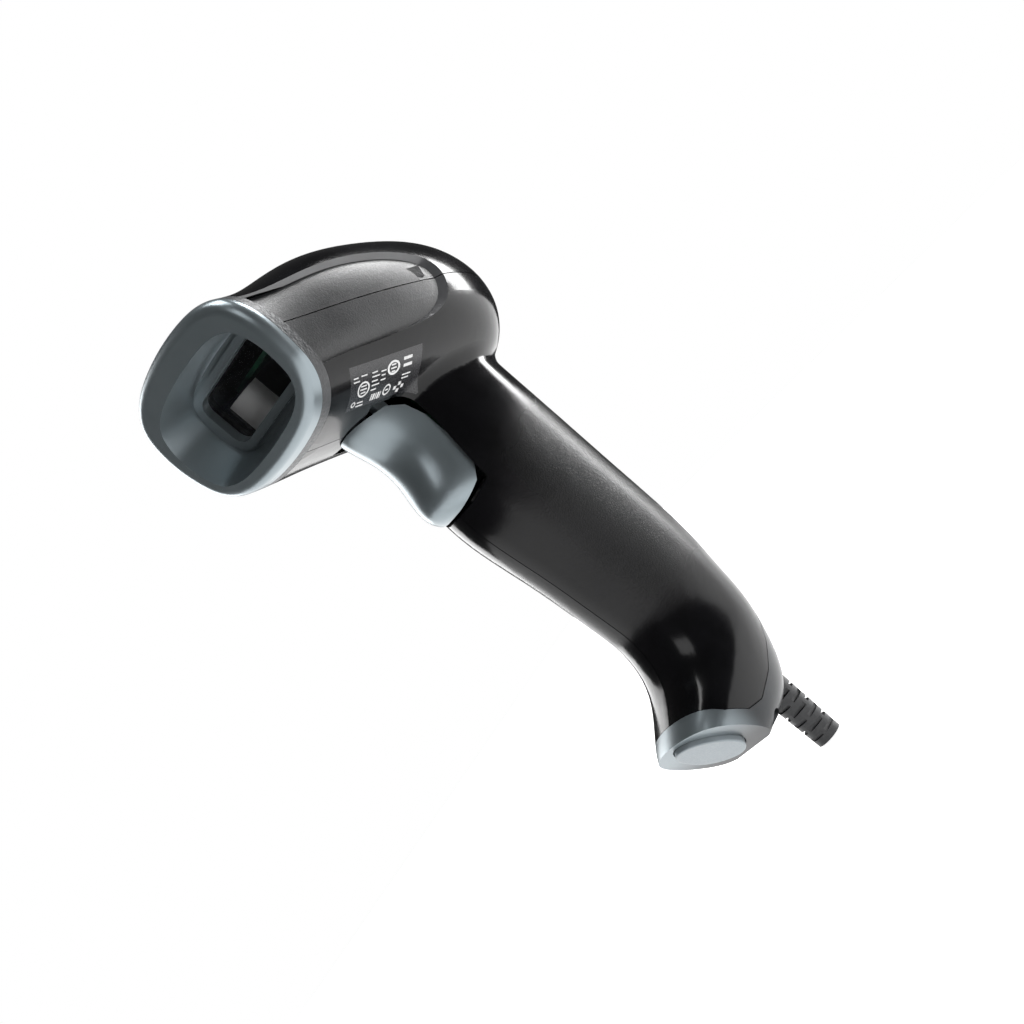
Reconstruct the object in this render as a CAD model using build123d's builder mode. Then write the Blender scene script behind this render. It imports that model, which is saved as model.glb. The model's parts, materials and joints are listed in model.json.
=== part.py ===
"""Handheld barcode scanner with a pistol grip, built piece by piece (millimetres).

Design frame: +X is the scanner's left side, +Y points back (the beam leaves
along -Y) and +Z runs up the grip. ROW moves the finished pieces so that the
origin is at the centre of the bounding box's bottom face.
"""

import math
import os

from build123d import *

os.makedirs("parts", exist_ok=True)

# ---- driving dimensions ----
WALL = 2.5  # moulded wall
PANEL_DEPTH = 1.4  # the grained cheek panels lie this far below the surface
SEAM = 0.24  # width of the visible parting lines
TILT = 22.0  # the head's axis falls this many degrees towards the back
FACE_Y = -15.0  # front of the bezel
BEZEL_BACK_Y = -11.2
COLLAR_BACK_Y = -8.6
FACE_Z = 125.2  # centre of the window
ROW = Location((0, -25, 38))
FIT = 0.05  # radial clearance of a running pin

HEAD = Plane(
    origin=(0, -16, 128),
    x_dir=(1, 0, 0),
    z_dir=(0, math.cos(math.radians(TILT)), -math.sin(math.radians(TILT))),
)

# head sections: distance back, half width, bottom, top, squareness
HEAD_SECTIONS = [
    (-10, 28.4, -17.6, 15.0, 3.0),
    (6, 29.0, -18.0, 18.6, 2.9),
    (22, 29.3, -18.0, 22.6, 2.7),
    (38, 29.4, -18.0, 24.6, 2.5),
    (54, 27.8, -18.0, 23.4, 2.35),
    (67, 24.2, -17.5, 20.6, 2.2),
    (76, 18.8, -15.2, 16.4, 2.1),
    (82, 12.2, -9.8, 11.4, 2.0),
    (85, 4.8, -3.2, 5.4, 2.0),
]
# grip sections: height, front, back, half width, squareness
GRIP_SECTIONS = [
    (108, 14.0, 47.0, 17.0, 2.3),
    (92, 11.5, 48.0, 16.4, 2.3),
    (78, 8.8, 48.2, 16.0, 2.3),
    (66, 6.6, 48.4, 15.6, 2.3),
    (48, 8.2, 48.2, 14.8, 2.3),
    (30, 10.4, 47.8, 14.2, 2.3),
    (17, 11.4, 46.2, 14.0, 2.3),
    (8, 9.2, 44.2, 14.0, 2.35),
    (0, 1.6, 42.0, 14.6, 2.4),
    (-7, -9.0, 39.0, 14.8, 2.4),
    (-14, -13.0, 35.0, 13.6, 2.4),
    (-20, -13.0, 29.0, 11.0, 2.3),
    (-22.5, -12.5, 20.0, 7.5, 2.2),
]
GRIP_BOTTOM = -22.5
SOLE_POINT = (-7.5, -4.5)  # y, z of the sole's front edge
SOLE_TILT = 45.0

NECK_RADIUS = 5.0

# nose
BEZEL_ROUND = 2.6
FUNNEL_WALL = 1.6
WINDOW_WIDE = 32.4
WINDOW_TALL = 14.2
WINDOW_CORNER = 3.4
WINDOW_PLATE = 1.2
WINDOW_LEDGE = 1.4
FRAME_RIM = 2.2
FRAME_PROUD = 0.9
FLOOR_RIM = 4.6
WINDOW_SEAT = 2.8  # depth of the block behind the dish that holds the window
# y, half sizes, squareness
DISH_SECTIONS = [
    (-15, 25.0, 13.8, 3.2), (-10, 22.4, 12.2, 3.4), (-5, 20.2, 10.8, 3.8),
]

# cheek panels and the sloping trim round them, in side view, and where the slope lies
PANEL_EDGE = [
    (-9, 138), (8, 131), (22, 124), (31, 118.3), (35, 111.5), (30.5, 106.2), (20, 106),
    (8, 109.4), (-9, 115),
]
TRIM_EDGE = [
    (-9, 141.5), (8, 135.2), (24, 128.5), (37, 120.3), (43.5, 110.5), (38.5, 101.6),
    (22, 103.2), (8, 108.2), (-9, 113.4),
]
PANEL_X = 25.2
TRIM_X = 28.6
LABEL_EDGE = [(-2.5, 109.5), (20.0, 101.0), (17.0, 94.5), (-3.0, 99.0)]
LABEL_THICKNESS = 0.25

# trigger, its pivot and what it works on
TRIGGER_HALF = 11.0
TRIGGER_GAP = 0.4
TRIGGER_POWER = 2.2
TRIGGER_OPENING = [
    (-10, 67.9), (8, 67.9), (14, 70), (18, 74), (20, 79), (22, 86), (22, 97), (16, 105.5),
    (5.6, 105.5), (5.6, 99.8), (-10, 105.8),
]
PIVOT_Y = 10.0
PIVOT_Z = 103.0
PIVOT_RADIUS = 1.2
PIVOT_BOSS = 2.4
ARM_IN = 5.6
ARM_OUT = 8.0
PIVOT_PIN_HALF = 14.5
SPRING_Z = 73.5
SPRING_BACK_Y = 21.5
SWITCH_BOARD_Y = 27.0
SWITCH_BOARD_HALF = 11.5

PLUNGER_Y = 20.5
PLUNGER_GAP = 0.3
PLUNGER_RADIUS = 1.3
SWITCH_Z = 80.0
# height, front
TRIGGER_SECTIONS = [
    (68.8, 4.8), (72.4, 1.9), (79, 2.9), (87, 5.4), (93, 4.6), (98, 3.0), (106, 4.0),
]
TRIGGER_BACK = 19.0
TRIGGER_WALL = 2.0
TRIGGER_SIDE = [
    (-10, 68.4), (4.5, 68.6), (10.5, 70.6), (14.2, 74.6), (15.2, 79), (15.2, 90), (13.6, 95),
    (10, 98.4), (6.4, 99.4), (-10, 105.3),
]
SPRING_PITCH = 1.7
SPRING_LENGTH = 8.5
SPRING_RADIUS = 1.9
SPRING_WIRE = 0.3
SPRING_STUB = 1.1

# laser engine and boards
ENGINE_HALF = 18.5
ENGINE_FRONT_Y = 0.5
ENGINE_BACK_Y = 27.0
ENGINE_TALL = 20.0
ENGINE_WALL = 1.6
ENGINE_SCREW_X = 13.0
ENGINE_SCREW_Y = 21.0
BOARD_THICK = 1.6
BOARD_LOW = 8.0
BOARD_HIGH = 97.0
LASER_RADIUS = 3.0
LASER_Z = 118.5
LASER_Y = 14.0
MIRROR_X = 1.0
MIRROR_Y = 13.0
MIRROR_TURN = -20.0
SHAFT_RADIUS = 0.8
BOARD_HALF = 9.5
BOARD_Y = 34.0
FLEX_ROUTE = [(27.2, 112), (30.5, 112), (33.7, 104), (33.7, 92)]

# butt
PAD_DOWN = 8.6
PAD_EDGE = [
    (0, 9.2), (4.0, 7.4), (6.6, 2.6), (7.0, -2.6), (4.8, -7.2), (0, -9.6), (-4.8, -7.2),
    (-7.0, -2.6), (-6.6, 2.6), (-4.0, 7.4),
]
PAD_SUNK = 0.9
PAD_PROUD = 1.4
BOOT_Y = 30.0
BOOT_ROOT = 4.4
BOOT_COLLAR = 5.6
BOOT_TIP = 3.7
BOOT_END = -38.0
BOOT_FLANGE = -9.0
BOOT_RINGS = 6
BOOT_FIRST = 2.6
BOOT_PITCH = 2.7
BOOT_SLOT = 1.1
CORD_BORE = 2.7

# screws and posts
# y, z, x of the head's seat
SHELL_SCREWS = [
    (40.5, 20, 7.5), (42, 60, 8.5), (19, 44, 9), (52, 98, 14),
]
BOSS_RADIUS = 3.2
SCREW_RADIUS = 1.3
SCREW_HEAD = 2.4
HEAD_HEIGHT = 1.6
PILOT_RADIUS = 1.1
BOARD_POSTS = [(37.7, 30), (37.7, 76)]
ENGINE_Z = 108.0
CAP_SCREW_X = 8.5
CAP_SCREW_Y = 14.0
CAP_SEAT = -17.0
HOOK_X = 23.4
HOOK_PLACES = (20, 50)

# the cap's upper edge in side view, from the front to the back
CAP_EDGE = [
    (-30, 0), (-3, 0), (1.5, -8), (6.5, -13), (12, -14.6), (21, -12.5), (29, -8.5), (36, -3),
    (50, 6),
]


def block(x0, x1, y0, y1, z0, z1, mode=Mode.ADD):
    """A box between two corners, in the part being built."""
    with Locations(((x0 + x1) / 2, (y0 + y1) / 2, (z0 + z1) / 2)):
        Box(x1 - x0, y1 - y0, z1 - z0, mode=mode)


def rod(radius, start, end, mode=Mode.ADD):
    """A round bar from one point to another, in the part being built."""
    a, b = Vector(*start), Vector(*end)
    with Locations(Plane(origin=(a + b) * 0.5, z_dir=b - a).location):
        Cylinder(radius, (b - a).length, mode=mode)


def engine_screw(side, z):
    """A point on the axis of an engine screw."""
    return side * ENGINE_SCREW_X, ENGINE_SCREW_Y, z


def cap_screw(side, z):
    """A point on the axis of a cap screw."""
    return side * CAP_SCREW_X, CAP_SCREW_Y, z


def superellipse(half_x, half_y, power, centre_y=0.0, count=16):
    """A closed smooth outline between an ellipse and a rectangle, as a face."""
    points = []
    for k in range(count):
        angle = 2 * math.pi * (k + 0.5) / count
        c, s = math.cos(angle), math.sin(angle)
        x = math.copysign(abs(c) ** (2 / power), c) * half_x
        y = math.copysign(abs(s) ** (2 / power), s) * half_y
        points.append((x, centre_y + y))
    with BuildSketch() as outline:
        with BuildLine():
            Spline(*points, periodic=True)
        make_face()
    return outline.sketch


def head_loft(inset):
    """The head's smooth body, drawn in by inset."""
    faces = []
    for back, half_x, low, high, power in HEAD_SECTIONS:
        rear = max(0.0, (back - 54) / 31)
        half_y = (high - low) / 2 - inset
        outline = superellipse(half_x - inset, half_y, power, -(high + low) / 2)
        faces.append(HEAD.offset(back - inset * rear) * outline)
    with BuildPart() as body:
        loft(faces)
    return body.part


def grip_loft(inset):
    """The grip's smooth body with its sole, drawn in by inset."""
    faces = []
    squash = (GRIP_BOTTOM + inset) / GRIP_BOTTOM
    for z, front, back, half_x, power in GRIP_SECTIONS:
        height = z if z > 0 else z * squash
        outline = superellipse(half_x - inset, (back - front) / 2 - inset, power, (front + back) / 2)
        faces.append(Plane.XY.offset(height) * outline)
    lift = inset / math.cos(math.radians(SOLE_TILT))
    with BuildPart() as body:
        loft(faces)
        with BuildSketch(Plane.YZ):
            y, z = SOLE_POINT
            corners = (y, z + lift), (y + 40, z - 40 + lift), (y - 40, z - 40), (y - 40, z + 40 + lift)
            Polygon(*corners, align=None)
        extrude(amount=40, both=True, mode=Mode.SUBTRACT)
    return body.part


def outer_form(inset):
    """Head and grip together, cut off at the bezel's face."""
    with BuildPart() as body:
        add(head_loft(inset))
        add(grip_loft(inset))
        block(-45, 45, -60, FACE_Y, -40, 160, mode=Mode.SUBTRACT)
    return body.part


def prism(points, half_width):
    """A side-view outline (y, z) made symmetric about x = 0."""
    with BuildPart() as body:
        with BuildSketch(Plane.YZ):
            with BuildLine():
                Polyline(*points, close=True)
            make_face()
        extrude(amount=half_width, both=True)
    return body.part


def keep(piece, name):
    """Label a finished piece, move it into the row frame and write it."""
    placed = piece.moved(ROW)
    placed.label = name
    export_step(placed, f"parts/{name}.step")
    box = placed.bounding_box()
    print(f"{name:18s} {placed.volume:9.0f} mm3 solids {len(placed.solids())} "
          f"x {box.min.X:.1f}..{box.max.X:.1f} y {box.min.Y:.1f}..{box.max.Y:.1f} "
          f"z {box.min.Z:.1f}..{box.max.Z:.1f}")


# ---- the housing's common forms ----
SEAM_RISE = 2.3  # the parting plane lies this far above the head's axis
HEAD_UP = -HEAD.y_dir
seam_plane = Plane(origin=HEAD.origin + HEAD_UP * SEAM_RISE, x_dir=(1, 0, 0), z_dir=HEAD_UP)

with BuildPart() as outer:
    add(outer_form(0))
    neck = [e for e in outer.edges() if e.length > 60 and e.center().Y > 0 and e.center().Z < 110]
    fillet(neck, NECK_RADIUS)

cap_zone = prism(CAP_EDGE + [(50, -60), (-30, -60)], 40)


def above_seam(gap):
    """Everything above the head's parting plane, raised by gap."""
    with BuildPart() as region:
        with Locations(seam_plane.offset(gap).location):
            Box(90, 180, 60, align=(Align.CENTER, Align.CENTER, Align.MIN))
    return region.part


panel_floor = head_loft(PANEL_DEPTH)


def cheek_tool():
    """The cutter for one cheek: a straight pocket with a sloping trim round it."""
    sections = []
    for x, outline in ((16, PANEL_EDGE), (PANEL_X, PANEL_EDGE), (TRIM_X, TRIM_EDGE), (34, TRIM_EDGE)):
        with BuildSketch(Plane.YZ.offset(x)) as face:
            with BuildLine():
                Spline(*outline)
                Line(outline[-1], outline[0])
            make_face()
        sections.append(face.sketch)
    with BuildPart() as tool:
        for low, high in zip(sections, sections[1:]):
            loft([low, high], ruled=True)
        add(panel_floor, mode=Mode.SUBTRACT)
    return tool.part


left_cheek = cheek_tool()

with BuildPart() as label:
    add(outer.part)
    add(head_loft(LABEL_THICKNESS), mode=Mode.SUBTRACT)
    add(grip_loft(LABEL_THICKNESS), mode=Mode.SUBTRACT)
    add(prism(LABEL_EDGE, 40), mode=Mode.INTERSECT)
    block(-60, TRIGGER_HALF + 1.5, -60, 60, 60, 160, mode=Mode.SUBTRACT)

with BuildPart() as shell:
    add(outer.part)
    add(outer_form(WALL), mode=Mode.SUBTRACT)
    add(left_cheek, mode=Mode.SUBTRACT)
    add(left_cheek.mirror(Plane.YZ), mode=Mode.SUBTRACT)
    add(label.part, mode=Mode.SUBTRACT)
    block(-60, 60, -60, COLLAR_BACK_Y, 90, 160, mode=Mode.SUBTRACT)
    add(prism(TRIGGER_OPENING, TRIGGER_HALF + TRIGGER_GAP), mode=Mode.SUBTRACT)

# ---- housing pieces ----
with BuildPart() as top_cover:
    add(shell.part)
    add(above_seam(SEAM / 2), mode=Mode.INTERSECT)
    for side in (-1, 1):
        for back in HOOK_PLACES:
            with Locations(HEAD.location * Location((side * HOOK_X, -SEAM_RISE, back))):
                Box(1.6, 8, 6)
            with Locations(HEAD.location * Location((side * (HOOK_X + 1.4), -SEAM_RISE - 2.5, back))):
                Box(4.4, 3, 6)

with BuildPart() as lower_shell:
    add(shell.part)
    add(above_seam(-SEAM / 2), mode=Mode.SUBTRACT)
    add(cap_zone, mode=Mode.SUBTRACT)


def half_shell(side):
    """The lower housing on one side (1 left, -1 right) with its bosses."""
    with BuildPart() as half:
        # bosses first, trimmed to the housing's form
        for y, z, seat in SHELL_SCREWS:
            rod(BOSS_RADIUS, (0, y, z), (side * 30, y, z))
        rod(PIVOT_BOSS, (side * ARM_OUT + side * 0.7, PIVOT_Y, PIVOT_Z), (side * 24, PIVOT_Y, PIVOT_Z))
        for y, z in BOARD_POSTS:
            rod(2.0, (side * 7.0, y, z), (side * 20, y, z))
        rod(2.8, engine_screw(side, 90), engine_screw(side, ENGINE_Z))
        rod(2.6, cap_screw(side, -9.5), cap_screw(side, 6))
        block(min(side * 8, side * 14), max(side * 8, side * 14), CAP_SCREW_Y - 1, CAP_SCREW_Y + 1, -4, 6)
        x0, x1 = sorted((0, side * 20))
        block(x0, x1, SPRING_BACK_Y, SPRING_BACK_Y + 1.8, SPRING_Z - 4, SPRING_Z + 4)
        x0, x1 = sorted((side * 9.9, side * 20))
        block(x0, x1, SWITCH_BOARD_Y - 1.5, SWITCH_BOARD_Y + 3.1, 69, 90)
        add(inner_form, mode=Mode.INTERSECT)
        add(lower_shell.part)
        x0, x1 = sorted((side * SEAM / 2, -side * 60))
        block(x0, x1, -60, 90, -60, 170, mode=Mode.SUBTRACT)
        add(above_seam(-SEAM / 2), mode=Mode.SUBTRACT)
        add(cap_zone, mode=Mode.SUBTRACT)
        for y, z, seat in SHELL_SCREWS:
            rod(SCREW_RADIUS, (0, y, z), (side * seat, y, z), mode=Mode.SUBTRACT)
            if side < 0:
                rod(SCREW_HEAD + 0.2, (side * seat, y, z), (side * 40, y, z), mode=Mode.SUBTRACT)
        pin_x = side * PIVOT_PIN_HALF
        rod(PIVOT_RADIUS, (0, PIVOT_Y, PIVOT_Z), (pin_x, PIVOT_Y, PIVOT_Z), mode=Mode.SUBTRACT)
        engine_top = engine_screw(side, ENGINE_Z)
        rod(PILOT_RADIUS, engine_screw(side, ENGINE_Z - 7), engine_top, mode=Mode.SUBTRACT)
        cap_screw_end = cap_screw(side, 0)
        rod(PILOT_RADIUS, cap_screw(side, -20), cap_screw_end, mode=Mode.SUBTRACT)
        # slots that hold the edges of the two boards
        x0, x1 = sorted((side * 8, side * (SWITCH_BOARD_HALF + 0.1)))
        block(x0, x1, SWITCH_BOARD_Y, SWITCH_BOARD_Y + BOARD_THICK, 69.9, 95, mode=Mode.SUBTRACT)
    return half.part


inner_form = outer_form(WALL - 0.2)
with BuildPart() as left_shell:
    add(half_shell(1))
with BuildPart() as right_shell:
    add(half_shell(-1))

# ---- nose: collar, bezel, window ----


def window_block(margin, front, back):
    """The window opening grown by margin, between two places along the beam."""
    with BuildPart() as body:
        with BuildSketch(Plane(origin=(0, front, FACE_Z), x_dir=(1, 0, 0), z_dir=(0, 1, 0))):
            RectangleRounded(WINDOW_WIDE + 2 * margin, WINDOW_TALL + 2 * margin, WINDOW_CORNER + margin)
        extrude(amount=back - front)
    return body.part


def dish_loft(margin, reach):
    """The bezel's dished recess grown by margin and carried forward by reach."""
    faces = []
    for y, half_x, half_z, power in DISH_SECTIONS:
        front = y - reach if y == FACE_Y else y
        place = Plane(origin=(0, front, FACE_Z), x_dir=(1, 0, 0), z_dir=(0, 1, 0))
        faces.append(place * superellipse(half_x + margin, half_z + margin, power))
    with BuildPart() as dish:
        loft(faces)
    return dish.part


DISH_BACK_Y = DISH_SECTIONS[-1][0]
BEZEL_REAR_Y = DISH_BACK_Y + WINDOW_SEAT
with BuildPart() as nose_band:
    add(outer.part)
    block(-60, 60, BEZEL_BACK_Y + 6, 90, -60, 170, mode=Mode.SUBTRACT)
    block(-60, 60, -60, 90, -60, 60, mode=Mode.SUBTRACT)
    add(head_loft(WALL - 0.3), mode=Mode.SUBTRACT)

with BuildPart() as nose_collar:
    add(nose_band.part)
    block(-60, 60, -60, BEZEL_BACK_Y + 0.05, 60, 170, mode=Mode.SUBTRACT)
    block(-60, 60, COLLAR_BACK_Y - 0.05, 90, 60, 170, mode=Mode.SUBTRACT)

with BuildPart() as bezel_rim:
    add(outer.part)
    block(-60, 60, BEZEL_BACK_Y, 90, -60, 170, mode=Mode.SUBTRACT)
    fillet(bezel_rim.edges().group_by(Axis.Y)[0], BEZEL_ROUND)
    block(-60, 60, -60, 90, -60, 60, mode=Mode.SUBTRACT)

with BuildPart() as bezel_back_space:
    add(head_loft(WALL - 0.3))
    block(-60, 60, -60, BEZEL_BACK_Y - 1.6, 60, 170, mode=Mode.SUBTRACT)

with BuildPart() as nose_bezel:
    add(bezel_rim.part)
    add(bezel_back_space.part, mode=Mode.SUBTRACT)
    add(dish_loft(FUNNEL_WALL, -1.2))
    add(window_block(FRAME_RIM, DISH_BACK_Y - FRAME_PROUD, BEZEL_REAR_Y))
    add(window_block(FLOOR_RIM, DISH_BACK_Y, DISH_BACK_Y + 1.6))
    window_frame = window_block(FRAME_RIM, DISH_BACK_Y - FRAME_PROUD, BEZEL_REAR_Y)
    add(dish_loft(0, 2).cut(window_frame), mode=Mode.SUBTRACT)
    add(window_block(0, DISH_BACK_Y - 5, BEZEL_REAR_Y + 1), mode=Mode.SUBTRACT)
    add(window_block(WINDOW_LEDGE, BEZEL_REAR_Y - WINDOW_PLATE, BEZEL_REAR_Y + 1), mode=Mode.SUBTRACT)

with BuildPart() as exit_window:
    add(window_block(WINDOW_LEDGE - 0.1, BEZEL_REAR_Y - WINDOW_PLATE, BEZEL_REAR_Y))

with BuildPart() as window_gasket:
    add(window_block(FRAME_RIM, BEZEL_REAR_Y, BEZEL_REAR_Y + 1.5))
    add(window_block(0.5, BEZEL_REAR_Y - 1, BEZEL_REAR_Y + 2), mode=Mode.SUBTRACT)

# ---- butt: cap, foot pad, cable boot ----
sole = Plane(
    origin=(0, SOLE_POINT[0] + PAD_DOWN, SOLE_POINT[1] - PAD_DOWN),
    x_dir=(1, 0, 0),
    z_dir=(0, -1, -1),
)


def pad_form(margin, low, high):
    """The foot pad's teardrop grown by margin, between two levels on the sole."""
    points = []
    for x, y in PAD_EDGE:
        grow = 1 + margin / math.hypot(x, y)
        points.append((x * grow, y * grow))
    with BuildPart() as pad:
        with BuildSketch(sole.offset(low)):
            with BuildLine():
                Spline(*points, periodic=True)
            make_face()
        extrude(amount=high - low)
    return pad.part


with BuildPart() as foot_pad:
    add(pad_form(0, -PAD_SUNK, PAD_PROUD))
    fillet(foot_pad.faces().sort_by(Axis.Z)[0].edges(), 0.4)

with BuildPart() as cap_bosses:
    rod(BOOT_ROOT + 2.2, (0, BOOT_Y, -19), (0, BOOT_Y, BOOT_FLANGE - 0.05))
    for side in (-1, 1):
        rod(3.4, cap_screw(side, -21.5), cap_screw(side, -11))
    add(grip_loft(1.0), mode=Mode.INTERSECT)
    add(cap_zone.moved(Location((0, 0, -SEAM))), mode=Mode.INTERSECT)

with BuildPart() as butt_cap:
    add(shell.part)
    add(cap_zone.moved(Location((0, 0, -SEAM))), mode=Mode.INTERSECT)
    add(cap_bosses.part)
    add(pad_form(0.35, -PAD_SUNK, 3), mode=Mode.SUBTRACT)
    rod(BOOT_ROOT, (0, BOOT_Y, -40), (0, BOOT_Y, 20), mode=Mode.SUBTRACT)
    rod(BOOT_COLLAR + FIT, (0, BOOT_Y, BOOT_FLANGE), (0, BOOT_Y, 20), mode=Mode.SUBTRACT)
    for side in (-1, 1):
        seat = cap_screw(side, CAP_SEAT)
        under = cap_screw(side, -40)
        rod(SCREW_RADIUS, under, cap_screw(side, 0), mode=Mode.SUBTRACT)
        rod(SCREW_HEAD + 0.2, under, seat, mode=Mode.SUBTRACT)

with BuildPart() as cable_boot:
    with Locations((0, BOOT_Y, BOOT_END)):
        Cone(BOOT_TIP, BOOT_ROOT, BOOT_FLANGE - BOOT_END, align=(Align.CENTER, Align.CENTER, Align.MIN))
    rod(BOOT_COLLAR, (0, BOOT_Y, BOOT_FLANGE), (0, BOOT_Y, BOOT_FLANGE + 2.4))
    for k in range(BOOT_RINGS):
        z = BOOT_END + BOOT_FIRST + k * BOOT_PITCH
        for turn in range(2):
            with Locations(Location((0, BOOT_Y, z), (0, 0, 90 * turn + 45 * (k % 2)))):
                for reach in (-1, 1):
                    with Locations((reach * (BOOT_ROOT + 0.2), 0, 0)):
                        Box(3.2, 4.6, BOOT_SLOT, mode=Mode.SUBTRACT)
    rod(CORD_BORE, (0, BOOT_Y, BOOT_END - 1), (0, BOOT_Y, 0), mode=Mode.SUBTRACT)

# ---- trigger and what it works on ----
with BuildPart() as trigger:
    faces = []
    for z, front in TRIGGER_SECTIONS:
        depth = TRIGGER_BACK - front
        outline = superellipse(TRIGGER_HALF, depth, TRIGGER_POWER, TRIGGER_BACK)
        faces.append(Plane.XY.offset(z) * outline)
    loft(faces)
    add(prism(TRIGGER_SIDE, 30), mode=Mode.INTERSECT)
    hollow = []
    for z, front in TRIGGER_SECTIONS:
        depth = TRIGGER_BACK - front - TRIGGER_WALL
        outline = superellipse(TRIGGER_HALF - TRIGGER_WALL, depth, TRIGGER_POWER, TRIGGER_BACK)
        hollow.append(Plane.XY.offset(71.0 + (z - 68.8) * 0.88) * outline)
    loft(hollow, mode=Mode.SUBTRACT)
    # arms up to the pivot, and the rib that meets the switch
    for side in (-1, 1):
        x0, x1 = sorted((side * ARM_IN, side * ARM_OUT))
        rod(PIVOT_BOSS + 0.2, (x0, PIVOT_Y, PIVOT_Z), (x1, PIVOT_Y, PIVOT_Z))
        block(x0, x1, PIVOT_Y - 1.2, PIVOT_Y + 2.2, 93, PIVOT_Z)
        block(x0, x1, PIVOT_Y - 0.5, PIVOT_Y + 2.2, 84, 96)
    block(-2, 2, 4.5, PLUNGER_Y - PLUNGER_GAP, SWITCH_Z - 1.5, SWITCH_Z + 1.5)
    block(-8, 8, 9.2, 11.2, SWITCH_Z - 1.5, SWITCH_Z + 1.5)
    rod(SPRING_STUB, (0, 3.2, SPRING_Z), (0, 12, SPRING_Z))
    pivot_ends = (-15, PIVOT_Y, PIVOT_Z), (15, PIVOT_Y, PIVOT_Z)
    rod(PIVOT_RADIUS + FIT, *pivot_ends, mode=Mode.SUBTRACT)

with BuildPart() as trigger_pin:
    rod(PIVOT_RADIUS, (-PIVOT_PIN_HALF, PIVOT_Y, PIVOT_Z), (PIVOT_PIN_HALF, PIVOT_Y, PIVOT_Z))

with BuildPart() as trigger_spring:
    coil = Helix(SPRING_PITCH, SPRING_LENGTH, SPRING_RADIUS)
    with BuildSketch(Plane(origin=coil @ 0, z_dir=coil % 0)):
        Circle(SPRING_WIRE)
    sweep(path=coil)

trigger_spring_placed = trigger_spring.part.moved(
    Location((0, SPRING_BACK_Y - 0.35, SPRING_Z), (90, 0, 0))
)

with BuildPart() as switch_board:
    block(-SWITCH_BOARD_HALF, SWITCH_BOARD_HALF, SWITCH_BOARD_Y, SWITCH_BOARD_Y + BOARD_THICK, 70, 90)

with BuildPart() as trigger_switch:
    block(-3, 3, PLUNGER_Y + 3, SWITCH_BOARD_Y, SWITCH_Z - 3, SWITCH_Z + 3)
    bore_end = (0, SWITCH_BOARD_Y - 0.6, SWITCH_Z)
    rod(PLUNGER_RADIUS + FIT, (0, PLUNGER_Y, SWITCH_Z), bore_end, mode=Mode.SUBTRACT)

with BuildPart() as switch_plunger:
    rod(PLUNGER_RADIUS, (0, PLUNGER_Y, SWITCH_Z), (0, PLUNGER_Y + 3.6, SWITCH_Z))

# ---- laser engine ----
with BuildPart() as engine_chassis:
    block(-ENGINE_HALF, ENGINE_HALF, ENGINE_FRONT_Y, ENGINE_BACK_Y, ENGINE_Z, ENGINE_Z + 2)
    chassis_top = ENGINE_Z + ENGINE_TALL
    block(-ENGINE_HALF, ENGINE_HALF, ENGINE_BACK_Y - ENGINE_WALL, ENGINE_BACK_Y, ENGINE_Z, chassis_top)
    for side in (-1, 1):
        x0, x1 = sorted((side * (ENGINE_HALF - ENGINE_WALL), side * ENGINE_HALF))
        block(x0, x1, ENGINE_FRONT_Y, ENGINE_BACK_Y, ENGINE_Z, ENGINE_Z + ENGINE_TALL)
    block(9.5, 17.5, LASER_Y - 3.8, LASER_Y + 3.8, ENGINE_Z, LASER_Z + 4.5)
    rod(3.0, (MIRROR_X, MIRROR_Y, ENGINE_Z), (MIRROR_X, MIRROR_Y, ENGINE_Z + 4))
    rod(LASER_RADIUS, (7, LASER_Y, LASER_Z), (16.5, LASER_Y, LASER_Z), mode=Mode.SUBTRACT)
    rod(SHAFT_RADIUS, (MIRROR_X, MIRROR_Y, 100), (MIRROR_X, MIRROR_Y, 120), mode=Mode.SUBTRACT)
    for side in (-1, 1):
        rod(SCREW_RADIUS, engine_screw(side, 100), engine_screw(side, 112), mode=Mode.SUBTRACT)

with BuildPart() as laser_barrel:
    rod(LASER_RADIUS, (8.5, LASER_Y, LASER_Z), (16.5, LASER_Y, LASER_Z))
    rod(1.0, (8, LASER_Y, LASER_Z), (12, LASER_Y, LASER_Z), mode=Mode.SUBTRACT)

with BuildPart() as mirror_shaft:
    rod(SHAFT_RADIUS, (MIRROR_X, MIRROR_Y, ENGINE_Z), (MIRROR_X, MIRROR_Y, ENGINE_Z + 18))

with BuildPart() as scan_mirror:
    with Locations(Location((MIRROR_X, MIRROR_Y, ENGINE_Z + 10.5), (0, 0, MIRROR_TURN))):
        with Locations((0, -1.9, 0)):
            Box(13, 1.0, 12)
        with Locations((0, -0.7, 0)):
            Box(4, 2.2, 12)
        Cylinder(1.9, 12)
        Cylinder(SHAFT_RADIUS + FIT, 14, mode=Mode.SUBTRACT)

with BuildPart() as mirror_magnet:
    with Locations(Location((MIRROR_X, MIRROR_Y, ENGINE_Z + 10.5), (0, 0, MIRROR_TURN))):
        with Locations((0, 3.3, 0)):
            Box(5, 2.8, 5)

with BuildPart() as drive_coil:
    x, z = MIRROR_X + 1, ENGINE_Z + 10.5
    rod(4.2, (x, 19.5, z), (x, ENGINE_BACK_Y - ENGINE_WALL, z))
    rod(1.5, (x, 19.0, z), (x, 23.5, z), mode=Mode.SUBTRACT)

with BuildPart() as collector:
    with BuildSketch(Plane.XY.offset(ENGINE_Z + 2)):
        with BuildLine():
            ThreePointArc((-16.6, 0.9), (-11.6, 2.6), (-9.0, 7.0))
            Line((-9.0, 7.0), (-16.6, 7.0))
            Line((-16.6, 7.0), (-16.6, 0.9))
        make_face()
    extrude(amount=ENGINE_TALL - 3)

with BuildPart() as engine_board:
    block(-ENGINE_HALF, ENGINE_HALF, 8, ENGINE_BACK_Y, ENGINE_Z + ENGINE_TALL, ENGINE_Z + ENGINE_TALL + 1.2)

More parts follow.
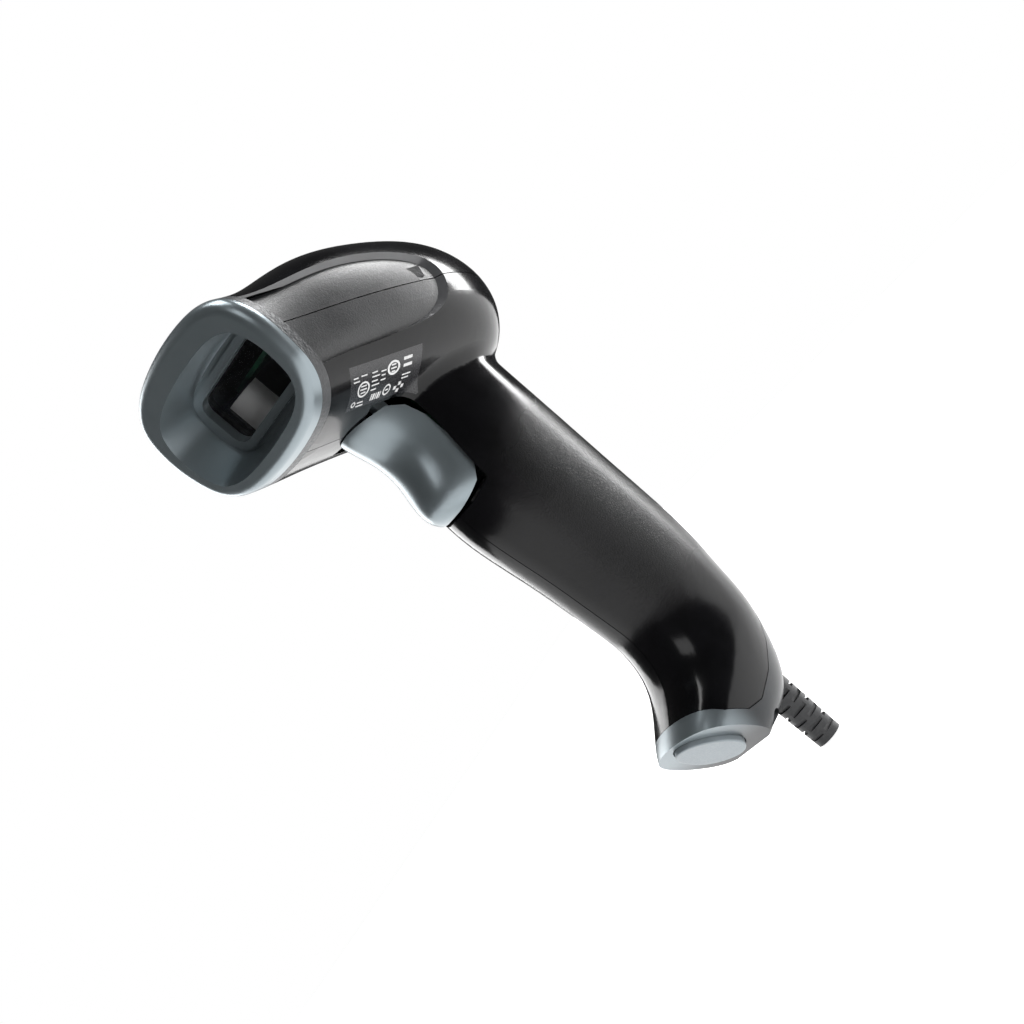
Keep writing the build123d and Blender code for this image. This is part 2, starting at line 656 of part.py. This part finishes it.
with BuildPart() as photodiode:
    block(4, 9, 8.5, 11.5, ENGINE_Z + ENGINE_TALL - 2.6, ENGINE_Z + ENGINE_TALL)

with BuildPart() as engine_screws:
    for side in (-1, 1):
        rod(PILOT_RADIUS, engine_screw(side, ENGINE_Z - 6), engine_screw(side, ENGINE_Z + 2))
        rod(SCREW_HEAD, engine_screw(side, ENGINE_Z + 2), engine_screw(side, ENGINE_Z + 2 + HEAD_HEIGHT))

# ---- electronics in the grip ----
with BuildPart() as main_board:
    block(-BOARD_HALF, BOARD_HALF, BOARD_Y, BOARD_Y + BOARD_THICK, BOARD_LOW, BOARD_HIGH)

with BuildPart() as board_chips:
    for x, z, wide, tall in ((0, 26, 12, 12), (-3, 64, 8, 8), (5, 66, 4, 5), (4, 40, 6, 5)):
        block(x - wide / 2, x + wide / 2, BOARD_Y - 1.4, BOARD_Y, z - tall / 2, z + tall / 2)

with BuildPart() as beeper:
    rod(5.8, (0, BOARD_Y - 6.5, 50), (0, BOARD_Y, 50))
    rod(1.0, (0, BOARD_Y - 7, 50), (0, BOARD_Y - 5, 50), mode=Mode.SUBTRACT)

with BuildPart() as cable_socket:
    block(-6.8, 6.8, BOARD_Y - 13, BOARD_Y, -6, 11)
    block(-5.2, 5.2, BOARD_Y - 11, BOARD_Y - 3, -7, 8, mode=Mode.SUBTRACT)
    block(-2, 2, BOARD_Y - 3, BOARD_Y - 1.5, -7, 8, mode=Mode.SUBTRACT)

with BuildPart() as engine_flex:
    with BuildSketch(Plane.YZ):
        with BuildLine():
            Polyline(*FLEX_ROUTE)
            offset(amount=0.15, side=Side.BOTH)
        make_face()
    extrude(amount=5, both=True)

with BuildPart() as shell_screws:
    for y, z, seat in SHELL_SCREWS:
        rod(SCREW_RADIUS, (-seat, y, z), (seat - 0.5, y, z))
        rod(SCREW_HEAD, (-seat - HEAD_HEIGHT, y, z), (-seat, y, z))

with BuildPart() as cap_screws:
    for side in (-1, 1):
        rod(PILOT_RADIUS, cap_screw(side, CAP_SEAT), cap_screw(side, -1))
        seat = cap_screw(side, CAP_SEAT)
        rod(SCREW_HEAD, cap_screw(side, CAP_SEAT - HEAD_HEIGHT), seat)

for piece, name in (
    (top_cover.part, "top_cover"),
    (left_shell.part, "left_shell"),
    (right_shell.part, "right_shell"),
    (label.part, "label"),
    (nose_collar.part, "nose_collar"),
    (nose_bezel.part, "nose_bezel"),
    (exit_window.part, "exit_window"),
    (window_gasket.part, "window_gasket"),
    (foot_pad.part, "foot_pad"),
    (butt_cap.part, "butt_cap"),
    (cable_boot.part, "cable_boot"),
    (trigger.part, "trigger"),
    (trigger_pin.part, "trigger_pin"),
    (trigger_spring_placed, "trigger_spring"),
    (switch_board.part, "switch_board"),
    (trigger_switch.part, "trigger_switch"),
    (switch_plunger.part, "switch_plunger"),
    (engine_chassis.part, "engine_chassis"),
    (laser_barrel.part, "laser_barrel"),
    (mirror_shaft.part, "mirror_shaft"),
    (scan_mirror.part, "scan_mirror"),
    (mirror_magnet.part, "mirror_magnet"),
    (drive_coil.part, "drive_coil"),
    (collector.part, "collector_mirror"),
    (engine_board.part, "engine_board"),
    (photodiode.part, "photodiode"),
    (engine_screws.part, "engine_screws"),
    (main_board.part, "main_board"),
    (board_chips.part, "board_chips"),
    (beeper.part, "beeper"),
    (cable_socket.part, "cable_socket"),
    (engine_flex.part, "engine_flex"),
    (shell_screws.part, "shell_screws"),
    (cap_screws.part, "cap_screws"),
):
    keep(piece, name)
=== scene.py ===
"""Looks for the handheld barcode scanner: materials, printed marks, camera and light (metres)."""

import json
import math

import bmesh
import bpy
from mathutils import Matrix, Vector
from mathutils.bvhtree import BVHTree


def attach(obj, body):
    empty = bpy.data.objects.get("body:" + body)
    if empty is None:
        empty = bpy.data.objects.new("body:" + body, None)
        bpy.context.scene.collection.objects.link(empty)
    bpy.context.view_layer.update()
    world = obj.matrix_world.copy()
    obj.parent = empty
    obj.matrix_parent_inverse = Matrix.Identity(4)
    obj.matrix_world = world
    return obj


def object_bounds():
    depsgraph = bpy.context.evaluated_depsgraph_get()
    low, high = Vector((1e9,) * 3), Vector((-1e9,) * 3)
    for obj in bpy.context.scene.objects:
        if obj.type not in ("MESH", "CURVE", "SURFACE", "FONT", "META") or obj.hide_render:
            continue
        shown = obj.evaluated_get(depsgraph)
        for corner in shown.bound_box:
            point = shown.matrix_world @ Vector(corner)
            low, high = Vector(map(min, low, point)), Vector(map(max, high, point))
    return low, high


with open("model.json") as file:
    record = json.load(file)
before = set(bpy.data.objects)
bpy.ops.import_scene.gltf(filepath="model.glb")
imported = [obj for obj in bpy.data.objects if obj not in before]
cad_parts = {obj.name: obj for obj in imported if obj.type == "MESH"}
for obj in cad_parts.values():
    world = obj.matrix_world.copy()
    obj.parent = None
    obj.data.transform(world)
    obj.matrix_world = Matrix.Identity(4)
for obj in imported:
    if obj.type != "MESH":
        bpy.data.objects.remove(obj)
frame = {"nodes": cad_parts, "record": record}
cad_low, cad_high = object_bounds()
NODES = frame["nodes"]

MM = 0.001

# ---- camera: nearly level, from the scanner's front left, with the picture rolled ----
CAMERA_AT = Vector((0.3713, -0.3549, 0.1216))
CAMERA_AZIMUTH = math.radians(46.79)
CAMERA_ELEVATION = math.radians(2.8)
CAMERA_ROLL = math.radians(-50.05)
LENS = 73.8
SENSOR = 36


def make_camera():
    data = bpy.data.cameras.new("camera")
    data.lens = LENS
    data.sensor_width = SENSOR
    camera = bpy.data.objects.new("camera", data)
    bpy.context.scene.collection.objects.link(camera)
    flat = math.cos(CAMERA_ELEVATION)
    back = Vector((
        math.sin(CAMERA_AZIMUTH) * flat,
        -math.cos(CAMERA_AZIMUTH) * flat,
        math.sin(CAMERA_ELEVATION),
    ))
    level = (-back).to_track_quat("-Z", "Y").to_matrix()
    turned = level @ Matrix.Rotation(CAMERA_ROLL, 3, "Z")
    camera.matrix_world = Matrix.Translation(CAMERA_AT) @ turned.to_4x4()
    bpy.context.scene.camera = camera


make_camera()


# ---- materials ----
class Shader:
    """A material's node tree with short helpers."""

    def __init__(self, name):
        self.material = bpy.data.materials.new(name)
        self.material.use_nodes = True
        self.tree = self.material.node_tree
        self.bsdf = self.tree.nodes["Principled BSDF"]
        self.coords = self.add("ShaderNodeTexCoord").outputs["Object"]

    def add(self, kind, **settings):
        node = self.tree.nodes.new(kind)
        for key, value in settings.items():
            setattr(node, key, value)
        return node

    def link(self, output, socket):
        self.tree.links.new(output, socket)

    def set(self, **values):
        for key, value in values.items():
            self.bsdf.inputs[key.replace("_", " ")].default_value = value

    def noise(self, size, detail=2.0, rough=0.5):
        """Noise whose grains are about size metres across."""
        node = self.add("ShaderNodeTexNoise")
        node.inputs["Scale"].default_value = 0.5 / size
        node.inputs["Detail"].default_value = detail
        node.inputs["Roughness"].default_value = rough
        self.link(self.coords, node.inputs["Vector"])
        return node.outputs["Fac"]

    def ramp(self, value, low, high, out_low, out_high):
        node = self.add("ShaderNodeMapRange", interpolation_type="SMOOTHSTEP")
        ends = {"From Min": low, "From Max": high, "To Min": out_low, "To Max": out_high}
        for name, number in ends.items():
            node.inputs[name].default_value = number
        self.link(value, node.inputs["Value"])
        return node.outputs["Result"]

    def math(self, operation, a, b):
        node = self.add("ShaderNodeMath", operation=operation)
        for socket, value in zip(node.inputs, (a, b)):
            if isinstance(value, (int, float)):
                socket.default_value = value
            else:
                self.link(value, socket)
        return node.outputs[0]

    def mix(self, factor, dark, light):
        node = self.add("ShaderNodeMix", data_type="RGBA")
        self.link(factor, node.inputs["Factor"])
        node.inputs[6].default_value = (*dark, 1)
        node.inputs[7].default_value = (*light, 1)
        return node.outputs[2]

    def bump(self, height, depth):
        node = self.add("ShaderNodeBump")
        node.inputs["Distance"].default_value = depth
        node.inputs["Strength"].default_value = 1.0
        self.link(height, node.inputs["Height"])
        self.link(node.outputs["Normal"], self.bsdf.inputs["Normal"])


def moulded(name, dark, light, rough, grain, depth, metallic=0.0, coat=0.0, wear=0.06):
    """Moulded or painted plastic: fine grain in the surface, mottled colour and gloss."""
    s = Shader(name)
    s.set(Metallic=metallic)
    mottle = s.noise(6 * MM, 3.0, 0.6)
    s.link(s.mix(s.ramp(mottle, 0.3, 0.7, 0.0, 1.0), dark, light), s.bsdf.inputs["Base Color"])
    fine = s.noise(grain, 2.0, 0.6)
    broad = s.ramp(mottle, 0.3, 0.7, rough - wear / 2, rough + wear / 2)
    s.link(s.math("ADD", s.ramp(fine, 0.3, 0.7, -wear, wear), broad), s.bsdf.inputs["Roughness"])
    if coat:
        s.set(Coat_Weight=coat, Coat_Roughness=0.06)
    s.bump(fine, depth)
    return s.material


def metal(name, dark, light, rough, grain=0.2 * MM):
    return moulded(name, dark, light, rough, grain, 0.01 * MM, metallic=1.0)


def clear(name, tint, rough, cover):
    """A thin clear sheet: a dark gloss that covers only a part of what lies behind it."""
    s = Shader(name)
    s.set(Base_Color=(*tint, 1), Alpha=cover, Specular_IOR_Level=0.8)
    dust = s.noise(1.5 * MM, 3.0)
    s.link(s.ramp(dust, 0.4, 0.8, rough, rough + 0.05), s.bsdf.inputs["Roughness"])
    s.bump(s.noise(9 * MM), 0.01 * MM)
    return s.material


CAP_SHADE_FADE = (-0.029, -0.017)  # the y over which the cap's colour turns dark: painted shade towards the rear
# a lit and a shaded tone of the one grey paint; the dark one is painted shade
CAP_LIT_AND_SHADED_TONES = (0.215, 0.250, 0.268), (0.010, 0.0105, 0.012)


def cap_paint_shaded_rear():
    """The grey paint of the cap, with painted shade: its colour turns dark towards the rear."""
    s = Shader("cap_paint_shaded_rear")
    split = s.add("ShaderNodeSeparateXYZ")
    s.link(s.coords, split.inputs["Vector"])
    # painted shade: the cap's colour goes to the shaded tone towards the rear
    rear = s.ramp(split.outputs["Y"], *CAP_SHADE_FADE, 0.0, 1.0)
    mottle = s.noise(6 * MM, 3.0, 0.6)
    shade = s.math("ADD", s.math("MULTIPLY", rear, 0.94), s.math("MULTIPLY", mottle, 0.05))
    s.link(s.mix(shade, *CAP_LIT_AND_SHADED_TONES), s.bsdf.inputs["Base Color"])
    s.link(s.ramp(mottle, 0.3, 0.7, 0.28, 0.31), s.bsdf.inputs["Roughness"])
    s.set(Metallic=0.6)
    s.bump(s.noise(0.16 * MM), 0.004 * MM)
    return s.material


GRIP_LOW = (0.046, 0.060)  # heights between which the grip's grain sets in above the butt
GRIP_HIGH = (0.104, 0.122)  # and fades out below the head
GRIP_REAR = (-0.019, -0.006)  # and the y over which it sets in behind the trigger
BLACK_TONES = (0.0022, 0.0022, 0.0026), (0.0042, 0.0042, 0.005)


def grip_black():
    """Black housing: polished at the head, nose and butt, finely grained round the grip."""
    s = Shader("black_housing")
    split = s.add("ShaderNodeSeparateXYZ")
    s.link(s.coords, split.inputs["Vector"])
    low = s.ramp(split.outputs["Z"], *GRIP_LOW, 0.0, 1.0)
    high = s.ramp(split.outputs["Z"], *GRIP_HIGH, 1.0, 0.0)
    rear = s.ramp(split.outputs["Y"], *GRIP_REAR, 0.0, 1.0)
    grained = s.math("MULTIPLY", s.math("MULTIPLY", low, high), rear)
    mottle = s.noise(7 * MM, 3.0, 0.6)
    s.link(s.mix(s.ramp(mottle, 0.3, 0.7, 0.0, 1.0), *BLACK_TONES), s.bsdf.inputs["Base Color"])
    grain = s.noise(0.22 * MM, 3.0, 0.7)
    rough = s.math("ADD", s.ramp(mottle, 0.3, 0.7, 0.13, 0.17), s.math("MULTIPLY", grained, 0.15))
    s.link(rough, s.bsdf.inputs["Roughness"])
    height = s.math("MULTIPLY", grain, s.math("ADD", s.math("MULTIPLY", grained, 0.9), 0.04))
    s.bump(height, 0.07 * MM)
    s.set(Specular_IOR_Level=0.24, Coat_Weight=0.03, Coat_Roughness=0.08)
    return s.material


def front_silver(name):
    s = Shader(name)
    s.set(Metallic=0.4)
    haze = s.noise(3 * MM)
    s.link(s.mix(haze, (0.86, 0.86, 0.86), (0.95, 0.95, 0.95)), s.bsdf.inputs["Base Color"])
    s.link(s.ramp(haze, 0.3, 0.7, 0.28, 0.40), s.bsdf.inputs["Roughness"])
    s.bump(haze, 0.01 * MM)
    return s.material


BLACK = grip_black()
PANEL = moulded(
    "cheek_panel", (0.010, 0.0105, 0.0115), (0.020, 0.0205, 0.022),
    0.40, 0.22 * MM, 0.045 * MM,
)
# painted highlight: the trim is glossy black, and its lighter grey stands in for the sheen along it
TRIM = moulded(
    "cheek_trim", (0.060, 0.061, 0.064), (0.085, 0.086, 0.090),
    0.20, 0.3 * MM, 0.004 * MM, coat=0.6,
)
SILVER = moulded(
    "grey_paint", (0.205, 0.240, 0.257), (0.218, 0.252, 0.270),
    0.30, 0.16 * MM, 0.004 * MM, metallic=0.7, wear=0.015,
)
COLLAR = moulded(
    "grained_collar", (0.020, 0.021, 0.023), (0.050, 0.052, 0.055),
    0.42, 0.45 * MM, 0.16 * MM,
)
RUBBER = moulded(
    "boot_rubber", (0.012, 0.0125, 0.014), (0.022, 0.023, 0.025),
    0.45, 0.25 * MM, 0.03 * MM,
)
PAD = moulded(
    "pad_grey", (0.190, 0.218, 0.236), (0.220, 0.250, 0.268),
    0.38, 0.2 * MM, 0.015 * MM, metallic=0.2,
)
FILM = moulded(
    "label_film", (0.010, 0.010, 0.012), (0.018, 0.018, 0.020),
    0.28, 0.2 * MM, 0.004 * MM,
)
INK = moulded("label_ink", (0.50, 0.50, 0.50), (0.62, 0.62, 0.62), 0.5, 0.2 * MM, 0.004 * MM)
FOAM = moulded("foam", (0.010, 0.010, 0.010), (0.018, 0.018, 0.018), 0.8, 0.3 * MM, 0.05 * MM)
BLACK_PART = moulded(
    "black_component", (0.012, 0.012, 0.012), (0.020, 0.020, 0.021),
    0.5, 0.2 * MM, 0.02 * MM,
)
SOLDER_MASK = moulded(
    "solder_mask", (0.010, 0.085, 0.035), (0.016, 0.120, 0.050),
    0.35, 0.25 * MM, 0.01 * MM, coat=0.3,
)
AMBER = moulded("amber_film", (0.42, 0.18, 0.03), (0.52, 0.24, 0.05), 0.3, 0.3 * MM, 0.005 * MM)
RED = moulded("red_plunger", (0.40, 0.02, 0.015), (0.50, 0.03, 0.02), 0.4, 0.2 * MM, 0.01 * MM)
STEEL = metal("steel", (0.50, 0.50, 0.51), (0.62, 0.62, 0.63), 0.28)
ZINC = metal("cast_zinc", (0.18, 0.18, 0.19), (0.26, 0.26, 0.27), 0.42, 0.4 * MM)
BRASS = metal("brass", (0.68, 0.47, 0.18), (0.80, 0.58, 0.26), 0.25)
COPPER = metal("copper_wire", (0.60, 0.25, 0.12), (0.75, 0.36, 0.18), 0.3)
MIRROR = front_silver("front_silver")
GLASS = clear("window", (0.015, 0.016, 0.018), 0.02, 0.16)
CAP = cap_paint_shaded_rear()

FINISH = {
    "black_gloss": BLACK,
    "silver_grey": SILVER,
    "cap_grey": CAP,
    "collar_grey": COLLAR,
    "window_clear": GLASS,
    "foam": FOAM,
    "boot_rubber": RUBBER,
    "pad_grey": PAD,
    "label_film": FILM,
    "steel": STEEL,
    "spring_steel": STEEL,
    "zinc": ZINC,
    "brass": BRASS,
    "mirror": MIRROR,
    "magnet": STEEL,
    "copper": COPPER,
    "board_green": SOLDER_MASK,
    "chip_black": BLACK_PART,
    "flex_amber": AMBER,
    "switch_black": BLACK_PART,
    "plunger_red": RED,
}


def dress_nodes():
    """Gives every CAD node the finish of its material slot; the cap has a finish of its own, with
    painted shade towards the rear.
    """
    for part in frame["record"]["subparts"]:
        node = NODES[part["node"]]
        node.data.materials.clear()
        finish = "cap_grey" if part["node"] == "butt_cap" else part["material_slot"]
        node.data.materials.append(FINISH[finish])


dress_nodes()


# ---- cheek panels and trim: faces of the housing that have a finish of their own ----
ROW_SHIFT = (-25.0, 38.0)  # y and z, in mm, from the design frame to the row frame
# outlines in side view, y and z: one well inside the panel, and one round all of its trim
PANEL_CORE = [(-4, 132), (10, 126), (24, 119), (29, 112), (20, 109.5), (8, 113), (-4, 117)]
TRIM_REACH = [
    (-12, 146), (8, 139), (26, 131), (40, 122), (48, 110.5),
    (41, 98), (22, 100), (8, 105.5), (-12, 111),
]
CHEEK_INNER_X = 12 * MM
CREASE = math.cos(math.radians(13))
PANEL_SLOT, TRIM_SLOT = 1, 2
WELD = 1e5  # vertices that agree to a hundredth of a millimetre count as one


def inside(outline, y, z):
    """Whether a point in side view lies within an outline, by crossing count."""
    crossed = False
    for (y0, z0), (y1, z1) in zip(outline, outline[1:] + outline[:1]):
        if (z0 > z) != (z1 > z) and y < (y1 - y0) * (z - z0) / (z1 - z0) + y0:
            crossed = not crossed
    return crossed


def smooth_neighbours(mesh):
    """For each face, the faces that it meets without a crease."""
    owners = {}
    for face in mesh.polygons:
        corners = [tuple(round(c * WELD) for c in mesh.vertices[k].co) for k in face.vertices]
        for a, b in zip(corners, corners[1:] + corners[:1]):
            owners.setdefault(frozenset((a, b)), []).append(face.index)
    normals = [face.normal.copy() for face in mesh.polygons]
    links = [[] for _ in normals]
    for faces in owners.values():
        for a in faces:
            links[a] += [b for b in faces if b != a and normals[a].dot(normals[b]) > CREASE]
    return links


def spread(links, seeds):
    """Every face reached from the seeds without crossing a crease."""
    reached = set(seeds)
    waiting = list(seeds)
    while waiting:
        for face in links[waiting.pop()]:
            if face not in reached:
                reached.add(face)
                waiting.append(face)
    return reached


def finish_cheeks():
    """Puts the grained panel and the glossy trim, lighter grey as a painted highlight, on the sunk
    faces of the three shells.
    """
    for name in ("top_cover", "left_shell", "right_shell"):
        mesh = NODES[name].data
        mesh.materials.append(PANEL)
        mesh.materials.append(TRIM)
        links = smooth_neighbours(mesh)
        near, core, far = [], [], []
        for face in mesh.polygons:
            place = face.center
            y, z = place.y / MM - ROW_SHIFT[0], place.z / MM - ROW_SHIFT[1]
            outward = abs(place.x) > CHEEK_INNER_X and face.normal.x * place.x > 0
            if not outward or not inside(TRIM_REACH, y, z):
                far.append(face.index)
                continue
            near.append(face.index)
            if inside(PANEL_CORE, y, z):
                core.append(face.index)
        panel = spread(links, core)
        outer = spread(links, far)
        for index in near:
            if index in panel:
                mesh.polygons[index].material_index = PANEL_SLOT
            elif index not in outer:
                mesh.polygons[index].material_index = TRIM_SLOT


finish_cheeks()


# ---- printed marks on the label: plain rings, bars and blocks ----
# the label wraps under the head, so it is measured square to a line of sight from below
LABEL_TILT = math.radians(37)
# y and tilted height of the corners: top front, top back, low back, low front
LABEL_CORNERS = [(-2.5, 102.2), (19.8, 95.0), (16.8, 83.8), (-2.7, 90.3)]
LABEL_CLEAR = 50
LABEL_SIZE = (24.0, 12.3)
PRINT_PROUD = 0.05 * MM
PRINT_ROOT = 0.04 * MM
MARK_RINGS = [  # along, down, outer radius, inner radius, flattening
    (4.6, 6.9, 2.1, 1.65, 1.0),
    (14.6, 3.8, 2.1, 1.5, 0.9),
    (13.6, 9.3, 1.3, 0.95, 1.1),
    (2.0, 10.4, 0.8, 0.5, 0.9),
]
MARK_BARS = [  # along, down, length, height
    (4.6, 6.0, 1.9, 0.36), (4.6, 6.9, 2.3, 0.36), (4.6, 7.8, 1.7, 0.36),
    (14.6, 3.0, 1.5, 0.36), (14.6, 3.9, 1.9, 0.36), (14.6, 4.8, 1.2, 0.36),
    (13.6, 9.3, 1.0, 0.4),
    (8.2, 3.3, 1.9, 0.34), (8.6, 4.4, 2.6, 0.34), (8.3, 5.6, 2.1, 0.34),
    (8.7, 6.7, 2.6, 0.34), (8.3, 7.9, 1.9, 0.34),
    (11.2, 3.7, 1.7, 0.34), (11.2, 4.8, 1.3, 0.34), (11.2, 6.0, 1.7, 0.34),
    (8.4, 10.0, 0.4, 1.7), (9.2, 10.0, 0.6, 1.7), (10.0, 10.0, 0.3, 1.7),
    (10.8, 10.0, 0.6, 1.7), (11.5, 10.0, 0.3, 1.7),
    (16.6, 9.6, 0.9, 0.9), (17.9, 8.7, 0.9, 0.9), (17.9, 10.5, 0.9, 0.9), (19.2, 9.6, 0.9, 0.9),
    (19.4, 2.4, 2.9, 0.8), (19.4, 4.2, 2.9, 0.8), (19.4, 6.6, 2.9, 0.34), (19.2, 7.5, 2.3, 0.34),
    (4.4, 10.3, 2.2, 0.34), (4.6, 11.2, 2.6, 0.34),
    (1.8, 3.3, 1.6, 0.34), (2.0, 4.3, 2.1, 0.34), (4.6, 3.2, 2.0, 0.34),
]
BAR_STEP = 0.6
RING_STEPS = 36


def label_place(along, down):
    """The y and tilted height, in mm, of a point measured along and down the label."""
    u, v = along / LABEL_SIZE[0], down / LABEL_SIZE[1]
    (ay, az), (by, bz), (cy, cz), (dy, dz) = LABEL_CORNERS
    top = (ay + (by - ay) * u, az + (bz - az) * u)
    low = (dy + (cy - dy) * u, dz + (cz - dz) * u)
    return top[0] + (low[0] - top[0]) * v, top[1] + (low[1] - top[1]) * v


def print_marks():
    """Thin raised ink on the label's face, following its curve."""
    label = NODES["label"]
    surface = bmesh.new()
    surface.from_mesh(label.data)
    tree = BVHTree.FromBMesh(surface)
    surface.free()
    shape = bmesh.new()

    def drop(along, down):
        y, z = label_place(along, down)
        across, up = math.cos(LABEL_TILT), math.sin(LABEL_TILT)
        x, z = up * z + across * LABEL_CLEAR, across * z - up * LABEL_CLEAR
        start = Vector((x, y + ROW_SHIFT[0], z + ROW_SHIFT[1])) * MM
        point, normal, _, _ = tree.ray_cast(start, Vector((-across, 0, up)))
        if point is None:
            return None
        proud, root = point + normal * PRINT_PROUD, point - normal * PRINT_ROOT
        return shape.verts.new(proud), shape.verts.new(root)

    def strip(pairs, closed):
        """A closed band of ink between pairs of points."""
        rails = [(drop(*a), drop(*b)) for a, b in pairs]
        if any(a is None or b is None for a, b in rails):
            return
        count = len(rails)
        for k in range(count if closed else count - 1):
            (a, b), (c, d) = rails[k], rails[(k + 1) % count]
            shape.faces.new((a[0], c[0], d[0], b[0]))
            shape.faces.new((a[1], b[1], d[1], c[1]))
            shape.faces.new((a[0], a[1], c[1], c[0]))
            shape.faces.new((b[0], d[0], d[1], b[1]))
        if not closed:
            for a, b in (rails[0], rails[-1]):
                shape.faces.new((a[0], b[0], b[1], a[1]))

    for along, down, outer, inner, flat in MARK_RINGS:
        pairs = []
        for k in range(RING_STEPS):
            turn = math.tau * k / RING_STEPS
            across, up = math.cos(turn), math.sin(turn) * flat
            rim, hole = [(along + radius * across, down + radius * up) for radius in (outer, inner)]
            pairs.append((rim, hole))
        strip(pairs, True)
    for along, down, length, height in MARK_BARS:
        steps = max(2, round(length / BAR_STEP) + 1)
        pairs = []
        for k in range(steps):
            place = along - length / 2 + length * k / (steps - 1)
            pairs.append(((place, down - height / 2), (place, down + height / 2)))
        strip(pairs, False)
    bmesh.ops.recalc_face_normals(shape, faces=shape.faces)
    mesh = bpy.data.meshes.new("label_marks")
    shape.to_mesh(mesh)
    shape.free()
    marks = bpy.data.objects.new("label_marks", mesh)
    bpy.context.scene.collection.objects.link(marks)
    mesh.materials.append(INK)
    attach(marks, "housing")


print_marks()


# ---- floor and light ----
FLOOR_HALF = 0.5
FLOOR_BELOW = 0.0005
FLOOR_GLOW = 0.96
ROOM_LEVEL = 0.05


def make_floor():
    mesh = bpy.data.meshes.new("floor")
    shape = bmesh.new()
    bmesh.ops.create_grid(shape, x_segments=8, y_segments=8, size=FLOOR_HALF)
    shape.to_mesh(mesh)
    shape.free()
    floor = bpy.data.objects.new("floor", mesh)
    floor.location.z = cad_low.z - FLOOR_BELOW
    bpy.context.scene.collection.objects.link(floor)
    s = Shader("pale_floor")
    s.link(s.mix(s.noise(0.2), (0.86, 0.86, 0.86), (0.90, 0.90, 0.90)), s.bsdf.inputs["Base Color"])
    s.set(Roughness=0.7)
    s.bsdf.inputs["Emission Color"].default_value = (1, 1, 1, 1)
    s.bsdf.inputs["Emission Strength"].default_value = FLOOR_GLOW
    mesh.materials.append(s.material)


def make_world():
    world = bpy.data.worlds.new("studio")
    bpy.context.scene.world = world
    world.use_nodes = True
    shade = world.node_tree.nodes["Background"]
    shade.inputs["Color"].default_value = (1, 1, 1, 1)
    # the backdrop is white, and the room around the object dimmer
    path = world.node_tree.nodes.new("ShaderNodeLightPath")
    level = world.node_tree.nodes.new("ShaderNodeMapRange")
    level.inputs["To Min"].default_value = ROOM_LEVEL
    level.inputs["To Max"].default_value = 1.0
    world.node_tree.links.new(path.outputs["Is Camera Ray"], level.inputs["Value"])
    world.node_tree.links.new(level.outputs["Result"], shade.inputs["Strength"])


LIGHTS = [  # name, width and height, power, place from the middle of the object
    ("back_strip", (0.26, 1.3), 24, (0.30, 1.0, 0.10)),
    ("left_strip", (0.5, 1.1), 9, (-1.0, 0.05, 0.15)),
    ("top_box", (0.6, 0.6), 9, (0.1, 0.2, 1.0)),
    ("front_fill", (0.9, 0.6), 4, (0.9, -0.9, 0.9)),
]


def make_light(name, size, power, away):
    """An area light that faces the middle of the object."""
    data = bpy.data.lights.new(name, "AREA")
    data.shape = "RECTANGLE"
    data.size, data.size_y = size
    data.energy = power
    light = bpy.data.objects.new(name, data)
    bpy.context.scene.collection.objects.link(light)
    middle = (cad_low + cad_high) / 2
    at = middle + Vector(away)
    facing = (middle - at).to_track_quat("-Z", "Y").to_matrix()
    light.matrix_world = Matrix.Translation(at) @ facing.to_4x4()


make_floor()
make_world()
for light in LIGHTS:
    make_light(*light)
bpy.context.scene.view_settings.view_transform = "Standard"
